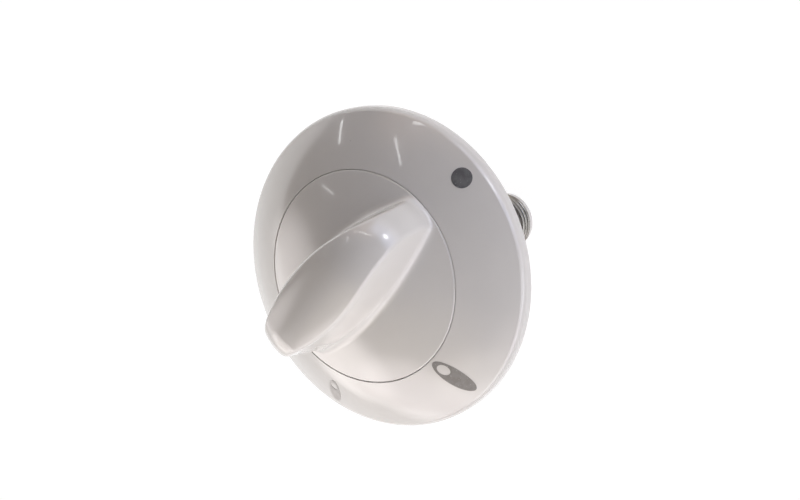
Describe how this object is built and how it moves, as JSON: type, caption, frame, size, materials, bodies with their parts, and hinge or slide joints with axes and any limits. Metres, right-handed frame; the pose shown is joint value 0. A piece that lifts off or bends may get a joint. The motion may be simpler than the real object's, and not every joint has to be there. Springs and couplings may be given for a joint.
{
  "type": "stove knob",
  "caption": "Long-stemmed stove knob with a domed dial ring, a raised finger grip, printed flame marks and a spring-clamped D-socket stem.",
  "frame": {"origin": "centre of the D-socket's mouth, at the end of the stem", "axes": "+Z along the stem's axis and out of the face; +Y towards the grip's pointer end and the printed dot"},
  "size_m": [0.054, 0.054, 0.0615],
  "materials": {
    "white_plastic": "gloss",
    "spring_steel": "drawn wire",
    "dark_ink": "printed",
    "grey_ink": "printed",
    "pale_grey_ink": "printed"
  },
  "bodies": {
    "root": {"grip_handle": "white_plastic", "dial_ring": "white_plastic", "stem_spring": "spring_steel", "off_dot": "dark_ink", "high_flame_mark": "grey_ink", "low_flame_mark": "pale_grey_ink"}
  },
  "joints": []
}
